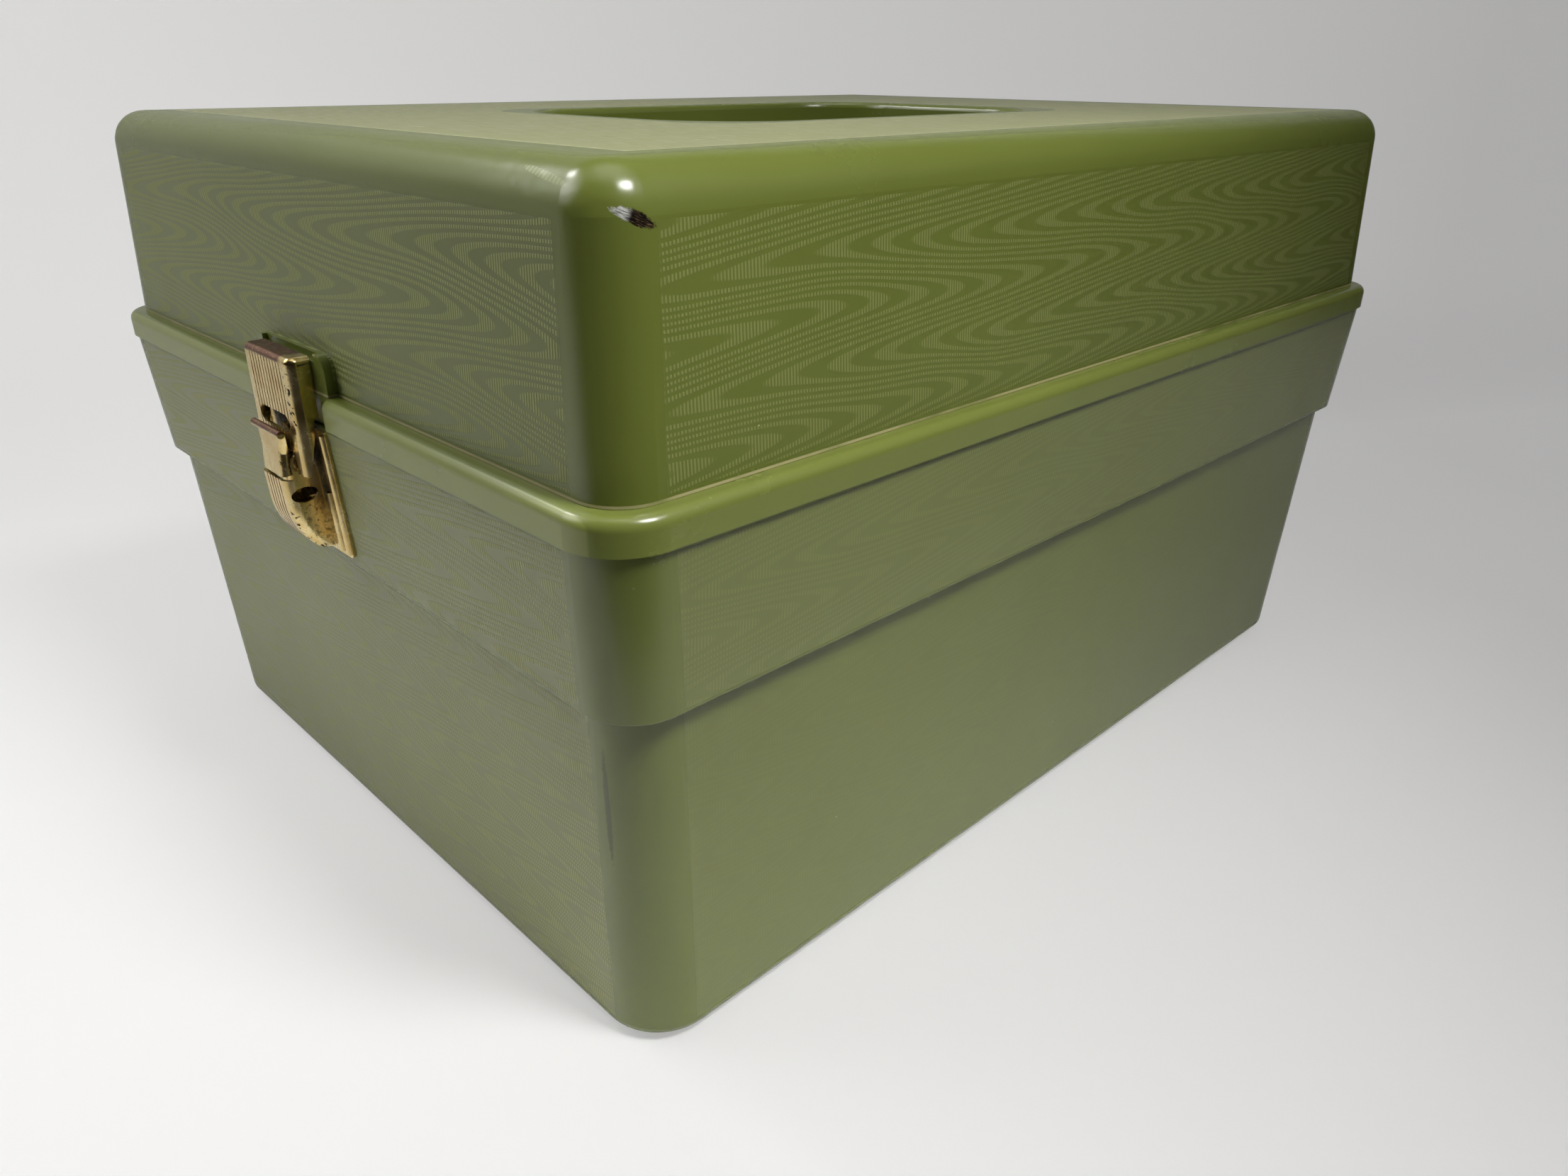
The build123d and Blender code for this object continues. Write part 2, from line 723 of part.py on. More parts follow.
def rivet_along_y(outer_face, inner_face, x, z, outward):
    """Rivet through a wall and a plate, with a flat head on both ends."""
    shank = sorted((outer_face, inner_face))
    rivet = pin_along_y(rivet_radius, shank, x, z)
    head = sorted((outer_face, outer_face + outward * rivet_head_height))
    foot = sorted((inner_face, inner_face - outward * rivet_head_height))
    rivet += pin_along_y(rivet_head_radius, head, x, z)
    rivet += pin_along_y(rivet_head_radius, foot, x, z)
    return rivet


def make_latch_rivets():
    rivets = []
    for x, drop in latch_rivet_spots:
        depth = wall_depth(drop)
        rivet = rivet_along_y(-latch_sheet, depth, x, -drop, -1)
        rivets.append(latch_place(rivet))
    return Compound(children=rivets)


def wall_depth(drop):
    """Thickness of the band's wall at a rivet, out to the far edge of its inner head."""
    height = shoulder_height - drop
    share = (tongue_top - height) / (tongue_top - ledge_height)
    inner = tongue_inner_inset + (band_inner_inset - tongue_inner_inset) * share
    outer = band_inset_top + (band_inset_bottom - band_inset_top) * drop / (shoulder_height - step_height)
    lean = rivet_head_radius * rivet_lean_share * math.tan(math.radians(band_tilt))
    return inner - outer + lean


def make_hinge_leaf(centre, side):
    """Stamped leaf with its knuckles; side is 1 for the lid's leaf and -1 for the base's."""
    half = hinge_leaf_width / 2
    tip = hinge_axis_z + side * hinge_leaf_height
    root = hinge_axis_z + side * (hinge_barrel_radius + hinge_notch_clearance)
    plate = block(
        (centre - half, centre + half),
        (half_length, half_length + hinge_sheet),
        sorted((root, tip)),
    )
    corners = plate.edges().filter_by(Axis.Y).group_by(Axis.Z)[-1 if side > 0 else 0]
    plate = fillet(corners, pad_corner_radius)
    mid = hinge_centre_knuckle / 2
    if side > 0:
        spans = [(centre - mid, centre + mid)]
    else:
        outer = mid + hinge_knuckle_gap
        spans = [(centre - half, centre - outer), (centre + outer, centre + half)]
    solid = plate
    for span in spans:
        neck = (half_length + hinge_barrel_gap / 2, half_length + hinge_sheet)
        solid += block(span, neck, sorted((hinge_axis_z, root)))
        overlap = sorted((root, root + side * hinge_root_overlap))
        solid += block(span, (half_length, half_length + hinge_sheet), overlap)
        solid += pin_along_x(hinge_barrel_radius, span, hinge_axis_y, hinge_axis_z)
    bore = (centre - half - cut_past, centre + half + cut_past)
    clearance = hinge_pin_clearance if side > 0 else 0
    solid -= pin_along_x(hinge_pin_radius + clearance, bore, hinge_axis_y, hinge_axis_z)
    for x, z in hinge_rivet_spots(centre, side):
        hole = (half_length - cut_past, half_length + hinge_sheet + cut_past)
        solid -= pin_along_y(rivet_radius + rivet_clearance, hole, x, z)
    return solid


def make_hinge_pin(centre):
    half = hinge_leaf_width / 2
    end = half + hinge_pin_head_height
    pin = pin_along_x(hinge_pin_radius, (centre - half, centre + half), hinge_axis_y, hinge_axis_z)
    for low, high in ((-end, -half), (half, end)):
        pin += pin_along_x(hinge_pin_head_radius, (centre + low, centre + high), hinge_axis_y, hinge_axis_z)
    return pin


def make_hinge_rivets(centre, side):
    """Both rivets of one leaf; the inner face follows the wall behind the pad."""
    rivets = []
    for x, z in hinge_rivet_spots(centre, side):
        if side > 0:
            rise = (z + rivet_head_radius - rim_bottom) / (lid_top - shell_wall - rim_bottom)
            inset = lid_inset_bottom + shell_wall + (lid_inset_top - lid_inset_bottom) * rise
        else:
            share = (tongue_top - (z - rivet_head_radius)) / (tongue_top - ledge_height)
            inset = tongue_inner_inset + (band_inner_inset - tongue_inner_inset) * share
        rivets.append(rivet_along_y(half_length + hinge_sheet, half_length - inset, x, z, 1))
    return Compound(children=rivets)


def tray_shell(inset_bottom, inset_top, z_low, height):
    """Open tray with rounded corners and a thin wall."""
    solid = shell_block(
        (inset_bottom, tray_corner_radius, z_low),
        (inset_top, tray_corner_radius, z_low + height),
    )
    inner_corner = tray_corner_radius - tray_wall
    solid -= shell_block(
        (inset_bottom + tray_wall, inner_corner, z_low + tray_floor),
        (inset_top + tray_wall, inner_corner, z_low + height),
    )
    return solid


def divider_positions(span, count):
    """Centres of the walls that split a span into equal cells."""
    return [-span / 2 + span * index / count for index in range(1, count)]


def make_lower_tray():
    inset_bottom = band_inner_inset + tray_clearance
    inset_top = inset_bottom - tray_draft
    solid = tray_shell(inset_bottom, inset_top, ledge_height, lower_tray_height)
    top = ledge_height + lower_tray_height
    rim = ring_block(inset_top, tray_corner_radius, (top - tray_rim_thickness, top))
    rim -= ring_block(
        inset_top + tray_rim_width, tray_corner_radius - tray_wall, (top - tray_rim_thickness, top))
    solid += rim
    inner_half_x = half_width - inset_bottom - tray_wall / 2
    inner_half_y = half_length - inset_bottom - tray_wall / 2
    z_range = (ledge_height + tray_floor / 2, top - tray_divider_drop)
    for x in divider_positions(2 * inner_half_x, lower_tray_columns):
        solid += block((x - tray_divider / 2, x + tray_divider / 2), (-inner_half_y, inner_half_y), z_range)
    for y in divider_positions(2 * inner_half_y, lower_tray_rows):
        solid += block((-inner_half_x, inner_half_x), (y - tray_divider / 2, y + tray_divider / 2), z_range)
    return solid


def peg(x, y, z):
    """Tapered spool peg with a bevelled tip."""
    on_end = (Align.CENTER, Align.CENTER, Align.MIN)
    body = Cone(peg_radius, peg_tip_radius, peg_height - peg_tip_height, align=on_end)
    tip = Cone(peg_tip_radius, peg_tip_radius - peg_tip_height, peg_tip_height, align=on_end)
    return Pos(x, y, z) * (body + Pos(0, 0, peg_height - peg_tip_height) * tip)


def make_upper_tray():
    low = ledge_height + lower_tray_height
    solid = tray_shell(upper_tray_inset, upper_tray_inset, low, upper_tray_height)
    foot_range = (low, low + upper_foot_thickness)
    foot = ring_block(upper_tray_inset - upper_foot_flange, tray_corner_radius, foot_range)
    foot -= ring_block(upper_tray_inset + tray_wall / 2, tray_corner_radius - tray_wall, foot_range)
    solid += foot
    inner_half_x = half_width - upper_tray_inset - tray_wall / 2
    inner_half_y = half_length - upper_tray_inset - tray_wall / 2
    z_range = (low + tray_floor / 2, low + upper_tray_height - tray_divider_drop)
    strip = peg_side_margin + peg_pitch_across * (peg_columns - 0.5)
    wall_x = inner_half_x - strip
    for x in (-wall_x, 0, wall_x):
        solid += block((x - tray_divider / 2, x + tray_divider / 2), (-inner_half_y, inner_half_y), z_range)
    solid += block((-wall_x, wall_x), (-tray_divider / 2, tray_divider / 2), z_range)
    floor = low + tray_floor - peg_sink
    for side in (-1, 1):
        for column in range(peg_columns):
            x = side * (inner_half_x - peg_side_margin - column * peg_pitch_across)
            for row in range(peg_rows):
                y = (row - (peg_rows - 1) / 2) * peg_pitch_along
                solid += peg(x, y, floor)
    return solid


def make_all():
    """Every piece by its node name."""
    pieces = {
        "base_shell": make_base_shell(),
        "lid_shell": make_lid_shell(),
        "carry_handle": make_carry_handle(),
        "handle_pin_front": make_handle_pin(-1),
        "handle_pin_rear": make_handle_pin(1),
        "latch_backplate": make_latch_backplate(),
        "latch_lever": make_latch_lever(),
        "latch_pivot_studs": make_latch_pivot_studs(),
        "latch_hook": make_latch_hook(),
        "latch_hook_pin": make_latch_hook_pin(),
        "latch_rivets": make_latch_rivets(),
        "lower_tray": make_lower_tray(),
        "upper_tray": make_upper_tray(),
    }
    for name, centre in hinge_centres.items():
        pieces[f"hinge_{name}_base_leaf"] = make_hinge_leaf(centre, -1)
        pieces[f"hinge_{name}_lid_leaf"] = make_hinge_leaf(centre, 1)
        pieces[f"hinge_{name}_pin"] = make_hinge_pin(centre)
        pieces[f"hinge_{name}_base_rivets"] = make_hinge_rivets(centre, -1)
        pieces[f"hinge_{name}_lid_rivets"] = make_hinge_rivets(centre, 1)
    return pieces


os.makedirs("parts", exist_ok=True)
for node, solid in make_all().items():
    export_step(solid, f"parts/{node}.step")
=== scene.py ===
"""Looks of the moulded sewing box: finishes of its pieces, a studio stage, its lamps and a camera."""
import math

import bmesh
import bpy
from mathutils import Matrix, Vector

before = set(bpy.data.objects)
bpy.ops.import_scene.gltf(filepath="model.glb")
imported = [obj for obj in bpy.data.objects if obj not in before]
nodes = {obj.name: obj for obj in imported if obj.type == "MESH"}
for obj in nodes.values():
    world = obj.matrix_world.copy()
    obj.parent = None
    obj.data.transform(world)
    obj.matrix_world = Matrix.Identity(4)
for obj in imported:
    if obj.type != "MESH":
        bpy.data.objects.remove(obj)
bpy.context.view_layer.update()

MM = 0.001

# Sizes of the case in millimetres, as the finishes need them
HALF_WIDTH = 133.25
HALF_LENGTH = 175.0
BEAD_FOOT = 132.0
RIM_TOP = 140.0
LID_TOP = 198.7

# Width of the soft edge of a textured field, in millimetres
FIELD_EDGE = 0.3

# Sockets of a Mix node that mixes colours
MIX_SHARE, MIX_FIRST, MIX_SECOND, MIX_RESULT = 0, 6, 7, 2


def linear(code):
    """Linear RGBA of an sRGB hex colour."""
    parts = [int(code[i:i + 2], 16) / 255 for i in (1, 3, 5)]
    return tuple(c / 12.92 if c <= 0.04045 else ((c + 0.055) / 1.055) ** 2.4 for c in parts) + (1.0,)


def add(tree, kind, *inputs, out=0, named=None, **settings):
    """Add one shader node and return its socket called out. Inputs fill its sockets in order or by name."""
    node = tree.nodes.new("ShaderNode" + kind)
    for key, value in settings.items():
        setattr(node, key, value)
    pairs = list(zip(node.inputs, inputs))
    pairs += [(node.inputs[key], value) for key, value in (named or {}).items()]
    for socket, value in pairs:
        if isinstance(value, bpy.types.NodeSocket):
            tree.links.new(value, socket)
        elif value is not None:
            socket.default_value = value
    return node.outputs[out] if len(node.outputs) else node


def new_material(name):
    """Empty material and its node tree."""
    material = bpy.data.materials.new(name)
    material.use_nodes = True
    material.node_tree.nodes.clear()
    return material, material.node_tree


def finish_surface(tree, **sockets):
    """Principled surface with the given sockets, joined to the output."""
    names = {key.replace("_", " ").title().replace("Ior", "IOR"): value for key, value in sockets.items()}
    shader = add(tree, "BsdfPrincipled", named=names)
    add(tree, "OutputMaterial", shader)


def place_in_mm(tree):
    """Object coordinates in millimetres: the whole vector, then x, y and z."""
    place = add(tree, "TexCoord", out="Object")
    point = add(tree, "VectorMath", place, named={"Scale": 1 / MM}, operation="SCALE")
    return point, *(add(tree, "SeparateXYZ", point, out=axis) for axis in "XYZ")


def step_up(tree, value, start, width):
    """0 below start, 1 above start + width, smooth between."""
    return add(tree, "MapRange", value, start, start + width, 0.0, 1.0, interpolation_type="SMOOTHSTEP")


def both(tree, *values):
    """Product of several masks."""
    result = values[0]
    for value in values[1:]:
        result = add(tree, "Math", result, value, operation="MULTIPLY")
    return result


def summed(tree, masks):
    """Sum of masks that lie apart from each other."""
    result = masks[0]
    for mask in masks[1:]:
        result = add(tree, "Math", result, mask, operation="ADD")
    return result


def within(tree, value, low, high, soft=0.3):
    """1 where value lies between low and high."""
    above = step_up(tree, value, low, soft)
    below = add(tree, "MapRange", value, high - soft, high, 1.0, 0.0, interpolation_type="SMOOTHSTEP")
    return both(tree, above, below)


def blend_colour(tree, share, first, second):
    """Colour between two, each a hex value or a socket."""
    first, second = (linear(c) if isinstance(c, str) else c for c in (first, second))
    sockets = {MIX_SHARE: share, MIX_FIRST: first, MIX_SECOND: second}
    return add(tree, "Mix", named=sockets, out=MIX_RESULT, data_type="RGBA")


def mark(tree, point, centre, along, across, reach):
    """Oval patch with a ragged edge: its mask, then the places along and across it, which are -1 and 1 at the
    oval's ends. Centre and reach are in millimetres."""
    offset = add(tree, "VectorMath", point, tuple(-c for c in centre), operation="ADD")
    places = []
    for direction, half in zip((along, across), reach):
        unit = Vector(direction).normalized() / half
        places.append(add(tree, "VectorMath", offset, unit, out="Value", operation="DOT_PRODUCT"))
    ragged = add(tree, "TexNoise", point, named={"Scale": 1.1, "Detail": 4.0, "Roughness": 0.7}, out="Fac")
    oval = add(tree, "VectorMath", add(tree, "CombineXYZ", *places), out="Value", operation="LENGTH")
    edge = add(tree, "Math", ragged, 0.9, oval, operation="MULTIPLY_ADD")
    patch = add(tree, "MapRange", edge, 1.25, 1.45, 1.0, 0.0)

    # The oval has no depth of its own, so it ends a little past its reach and leaves the far walls alone
    distance = add(tree, "VectorMath", offset, out="Value", operation="LENGTH")
    near = add(tree, "MapRange", distance, max(reach) * 1.3, max(reach) * 1.5, 1.0, 0.0)
    return both(tree, near, patch), *places


# Watered-silk texture of the mould: fine upright ridges, left standing in long nested waves. In millimetres,
# but for the turn in radians, and drift and turn are how far the waves wander from a regular pattern.
RIDGE_PITCH = 0.85
WAVE_HEIGHT = 22.6
WAVE_REACH = 44.0
WAVE_PITCH = 15.0
WAVE_DRIFT = 70.0
WAVE_TURN = 3.0


def watered_silk(tree, point, along, up, tips):
    """Where the waves leave ridges standing on a wall, and the ridges themselves. Along and up are the wall's
    own coordinates in millimetres, and tips is the height of the waves' tips."""
    wander = add(tree, "TexNoise", point, named={"Scale": 0.011, "Detail": 1.0, "Roughness": 0.4}, out="Fac")
    per_mm = 2 * math.pi / WAVE_HEIGHT
    turn = add(tree, "Math", up, per_mm, -tips * per_mm, operation="MULTIPLY_ADD")
    turn = add(tree, "Math", wander, WAVE_TURN, turn, operation="MULTIPLY_ADD")
    wave = add(tree, "Math", turn, operation="COSINE")
    shifted = add(tree, "Math", wave, -WAVE_REACH, along, operation="MULTIPLY_ADD")
    drift = add(tree, "Math", wander, WAVE_DRIFT, shifted, operation="MULTIPLY_ADD")
    phase = add(tree, "Math", drift, 2 * math.pi / WAVE_PITCH, operation="MULTIPLY")
    band = step_up(tree, add(tree, "Math", phase, operation="SINE"), -0.35, 0.9)
    ridge_turn = add(tree, "Math", along, 2 * math.pi / RIDGE_PITCH, operation="MULTIPLY")
    ridge = step_up(tree, add(tree, "Math", ridge_turn, operation="SINE"), -0.6, 1.3)
    return band, both(tree, band, ridge)


# Textured fields of the walls, in millimetres. At the two heights of inset_from the wall lies in from the
# rim's face by inset. Margin is left smooth at the corners, and tips is the height of the waves' tips. Shows
# is how strongly the worn texture stands on the sides and on the ends, with its crests painted pale as a
# painted highlight, and film how dusty each of them is.
LID_WALL = {
    "heights": (141.2, 189.0), "inset_from": (137.5, 198.7), "inset": (4.35, 6.85), "margin": 12.6,
    "tips": 173.0, "shows": (0.55, 1.2), "film": (0.0, 0.05),
}
BAND_WALL = {
    "heights": (95.8, 131.4), "inset_from": (94.8, 132.1), "inset": (3.2, 1.0), "margin": 15.0,
    "tips": 115.0, "shows": (0.25, 1.5), "film": (0.10, 0.26),
}
BODY_WALL = {
    "heights": (5.0, 93.6), "inset_from": (1.5, 94.8), "inset": (8.8, 6.2), "margin": 14.0,
    "tips": 70.0, "shows": (0.1, 1.2), "film": (0.06, 0.24),
}

# Textured field on the lid's top, round the recess of the handle
TOP_FIELD = {
    "half_width": 113.3, "half_length": 152.0, "border": 1.1,
    "recess_half_width": 57.0, "recess_half_length": 81.0, "recess_corner": 20.0,
    "tips": 0.0, "shows": 0.7, "film": 0.42,
}

# Marks on the case: centre, directions along and across, and reach both ways, in millimetres
KNOCK = ((126.2, -160.2, 189.5), (0.235, 0.889, -0.393), (0.036, 0.383, 0.910), (4.4, 1.25))
RUBBED_STREAK = ((109.4, -166.1, 195.5), (0.984, -0.120, -0.130), (0.176, 0.718, 0.669), (8.5, 0.85))
GRIME = ((116.6, -168.0, 70.0), (0.02, -0.02, 1.0), (0.7, 0.7, 0.0), (16.0, 0.7))


def wall_fields(tree, across, along, z, wall):
    """Masks of the textured fields on a shell's side walls and on its end walls, from the distances across
    and along from its middle. What stands out from a wall, such as the tab and the bead, stays smooth."""
    low, high = wall["heights"]
    inset = add(tree, "MapRange", z, *wall["inset_from"], *wall["inset"], clamp=False)
    reach_x = add(tree, "Math", across, inset, operation="ADD")
    reach_y = add(tree, "Math", along, inset, operation="ADD")
    level = within(tree, z, low, high)
    masks = []
    for outer, outer_half, other, other_half in (
        (reach_x, HALF_WIDTH, reach_y, HALF_LENGTH),
        (reach_y, HALF_LENGTH, reach_x, HALF_WIDTH),
    ):
        on_wall = within(tree, outer, outer_half - 0.8, outer_half + 0.8, 0.4)
        end = other_half - wall["margin"]
        clear_of_corner = add(tree, "MapRange", other, end - FIELD_EDGE, end, 1.0, 0.0)
        masks.append(both(tree, level, on_wall, clear_of_corner))
    return masks


def top_field(tree, across, along, z):
    """Masks of the textured field on the lid's top and of the worn border at its outer edge."""
    half_width, half_length = TOP_FIELD["half_width"], TOP_FIELD["half_length"]
    inside = both(
        tree,
        step_up(tree, z, LID_TOP - 0.4, 0.2),
        add(tree, "MapRange", across, half_width - FIELD_EDGE, half_width, 1.0, 0.0),
        add(tree, "MapRange", along, half_length - FIELD_EDGE, half_length, 1.0, 0.0),
    )

    # The frame round the recess is plain and has rounded corners
    corner = TOP_FIELD["recess_corner"]
    past = add(
        tree,
        "CombineXYZ",
        add(tree, "Math", across, TOP_FIELD["recess_half_width"] - corner, operation="SUBTRACT"),
        add(tree, "Math", along, TOP_FIELD["recess_half_length"] - corner, operation="SUBTRACT"),
    )
    past = add(tree, "VectorMath", past, (0.0, 0.0, 0.0), operation="MAXIMUM")
    from_recess = add(tree, "VectorMath", past, out="Value", operation="LENGTH")
    field = both(tree, inside, step_up(tree, from_recess, corner, FIELD_EDGE))

    at_edge = add(
        tree,
        "Math",
        step_up(tree, across, half_width - TOP_FIELD["border"], FIELD_EDGE),
        step_up(tree, along, half_length - TOP_FIELD["border"], FIELD_EDGE),
        operation="MAXIMUM",
    )
    return field, both(tree, inside, at_edge)


def bead_painted_highlight(tree, along, z, colour):
    """Colour of the lid with its bead painted pale, a painted highlight where its rounded top catches the
    light, as it stands proud of the walls, and most on the ends.
    """
    # Painted highlight: the bead is painted paler, more on the ends
    bead = within(tree, z, BEAD_FOOT, RIM_TOP + 0.3, 0.8)
    at_end = step_up(tree, along, HALF_LENGTH - 1.6, 0.4)
    paled = both(tree, bead, add(tree, "MapRange", at_end, 0.0, 1.0, 0.16, 0.5))
    return blend_colour(tree, paled, colour, "#a3aa5c")


def worn_and_glinting_top(tree, point, field, film, border, colour):
    """Colour of the lid with its top worn: bright border, round pale spots painted as glints off small dents
    scattered over it, and grit.
    """
    colour = blend_colour(tree, both(tree, border, 0.6), colour, "#cdd09c")
    # Painted glints: small round pale spots for light glinting off dents in the top
    dents = add(tree, "TexVoronoi", point, named={"Scale": 0.085, "Randomness": 1.0}, out="Distance")
    dent_glints = both(tree, film, add(tree, "MapRange", dents, 0.06, 0.11, 1.0, 0.0))
    colour = blend_colour(tree, dent_glints, colour, "#d0d2b4")
    grit = add(tree, "TexNoise", point, named={"Scale": 0.55, "Detail": 3.0, "Roughness": 0.6}, out="Fac")
    gritty = both(tree, field, step_up(tree, grit, 0.44, 0.22), 0.45)
    return blend_colour(tree, gritty, colour, "#7f8354")


def marked_corner(tree, point, colour):
    """Colour of the lid with the two marks on its corner."""
    # Knock: the skin is torn away to brown dirt, with a bright bruised lip at its near end
    chip, place, rise = mark(tree, point, *KNOCK)
    drawn = add(tree, "CombineXYZ", place, add(tree, "Math", rise, 2.6, operation="MULTIPLY"), 0.0)
    streaks = add(tree, "TexNoise", drawn, named={"Scale": 2.2, "Detail": 4.0, "Roughness": 0.7}, out="Fac")
    dirt = blend_colour(tree, step_up(tree, streaks, 0.48, 0.2), "#17110b", "#6d5a42")
    bruise = blend_colour(tree, step_up(tree, streaks, 0.38, 0.2), "#5c5a50", "#d8d8d2")
    torn = blend_colour(tree, step_up(tree, place, -0.45, 0.3), bruise, dirt)
    colour = blend_colour(tree, chip, colour, torn)

    # Rubbed streak, crossed by short ribs
    rub, place, rise = mark(tree, point, *RUBBED_STREAK)
    ribs = add(tree, "Math", add(tree, "Math", place, 44.0, operation="MULTIPLY"), operation="SINE")
    paled = both(tree, rub, add(tree, "MapRange", ribs, -1.0, 1.0, 0.08, 0.36))
    return blend_colour(tree, paled, colour, "#c3c895")


def moulded_green(name, walls, is_lid=False):
    """High-impact polystyrene, injection moulded in avocado green: glossy in the smooth margins, and satin
    where the mould's ridges stand, which with the crests' painted highlight is what makes the waves show."""
    material, tree = new_material(name)
    point, x, y, z = place_in_mm(tree)
    across = add(tree, "Math", x, operation="ABSOLUTE")
    along = add(tree, "Math", y, operation="ABSOLUTE")

    # Textured patches: field, coordinates along and up it, wave tips, how strongly it shows, and dust
    patches = []
    for wall in walls:
        side_field, end_field = wall_fields(tree, across, along, z, wall)
        patches.append((side_field, y, z, wall["tips"], wall["shows"][0], wall["film"][0]))
        patches.append((end_field, x, z, wall["tips"], wall["shows"][1], wall["film"][1]))
    if is_lid:
        field, border = top_field(tree, across, along, z)
        patches.append((field, x, y, TOP_FIELD["tips"], TOP_FIELD["shows"], TOP_FIELD["film"]))
    fields, bands, ridges, films = [], [], [], []
    for field, sideways, up, tips, shows, film in patches:
        band, ridge = watered_silk(tree, point, sideways, up, tips)
        fields.append(field)
        bands.append(both(tree, field, band, shows))
        ridges.append(both(tree, field, ridge, shows))
        films.append(both(tree, field, film))
    field, band, ridge, film = (summed(tree, masks) for masks in (fields, bands, ridges, films))

    # Slow change of tone in the moulding, the ridges' crests painted paler as a painted highlight where light
    # catches them, and on the top also as a painted reflection of the pale wall, and dust settled in the
    # texture
    cloud = add(tree, "TexNoise", point, named={"Scale": 0.012, "Detail": 3.0, "Roughness": 0.55}, out="Fac")
    colour = blend_colour(tree, cloud, "#646d2e", "#6f7935")
    colour = blend_colour(tree, both(tree, ridge, 0.55), colour, "#b2b673")
    colour = blend_colour(tree, film, colour, "#b0ad8b")

    # Thin pale wear where the lid's wall meets its rim, stronger in some places than in others
    root = within(tree, z, RIM_TOP + 0.05, RIM_TOP + 0.8, 0.2)
    wear = add(tree, "TexNoise", point, named={"Scale": 0.045, "Detail": 3.0, "Roughness": 0.6}, out="Fac")
    worn = both(tree, root, add(tree, "MapRange", wear, 0.30, 0.50, 0.15, 0.85))
    colour = blend_colour(tree, worn, colour, "#c4b98c")

    # Small pale specks
    specks = add(tree, "TexVoronoi", point, named={"Scale": 0.07, "Randomness": 1.0}, out="Distance")
    speck = add(tree, "MapRange", specks, 0.008, 0.016, 0.8, 0.0)
    colour = blend_colour(tree, speck, colour, "#c8c8a0")

    if is_lid:
        colour = bead_painted_highlight(tree, along, z, colour)
        colour = worn_and_glinting_top(tree, point, fields[-1], films[-1], border, colour)
        colour = marked_corner(tree, point, colour)
    else:
        # Dirt drawn down the corner below the band
        grime = mark(tree, point, *GRIME)[0]
        colour = blend_colour(tree, both(tree, grime, 0.6), colour, "#3c4216")

    smudge = add(tree, "TexNoise", point, named={"Scale": 0.035, "Detail": 5.0, "Roughness": 0.6}, out="Fac")
    rough = add(tree, "MapRange", smudge, 0.3, 0.7, 0.23, 0.28)
    for mask, rougher in ((field, 0.08), (band, 0.14), (worn, 0.3)):
        rough = add(tree, "Math", mask, rougher, rough, operation="MULTIPLY_ADD")
    waviness = add(tree, "TexNoise", point, named={"Scale": 0.03, "Detail": 1.0}, out="Fac")
    flow = add(tree, "Bump", named={"Strength": 0.12, "Distance": 0.4 * MM, "Height": waviness})
    relief = {"Strength": 0.55, "Distance": 0.12 * MM, "Height": ridge, "Normal": flow}
    finish_surface(tree, base_color=colour, roughness=rough, ior=1.55, normal=add(tree, "Bump", named=relief))
    return material


def plain_green(name):
    """The same polystyrene without the texture, for the handle."""
    material, tree = new_material(name)
    point = place_in_mm(tree)[0]
    cloud = add(tree, "TexNoise", point, named={"Scale": 0.03, "Detail": 3.0}, out="Fac")
    colour = blend_colour(tree, cloud, "#5f6a22", "#6d7830")
    rough = add(tree, "MapRange", cloud, 0.3, 0.7, 0.22, 0.34)
    finish_surface(tree, base_color=colour, roughness=rough, ior=1.55)
    return material


def tray_polystyrene():
    """General-purpose polystyrene, moulded in ivory: satin, slightly translucent, with faint flow marks."""
    material, tree = new_material("ivory moulded polystyrene")
    point = place_in_mm(tree)[0]
    cloud = add(tree, "TexNoise", point, named={"Scale": 0.02, "Detail": 4.0}, out="Fac")
    colour = blend_colour(tree, cloud, "#cfc7a6", "#ddd6b8")
    rough = add(tree, "MapRange", cloud, 0.3, 0.7, 0.32, 0.46)
    grain = add(tree, "TexNoise", point, named={"Scale": 1.4, "Detail": 2.0}, out="Fac")
    relief = {"Strength": 0.1, "Distance": 0.05 * MM, "Height": grain}
    normal = add(tree, "Bump", named=relief)
    sheen = {"ior": 1.59, "subsurface_weight": 0.08}
    finish_surface(tree, base_color=colour, roughness=rough, normal=normal, **sheen)
    return material


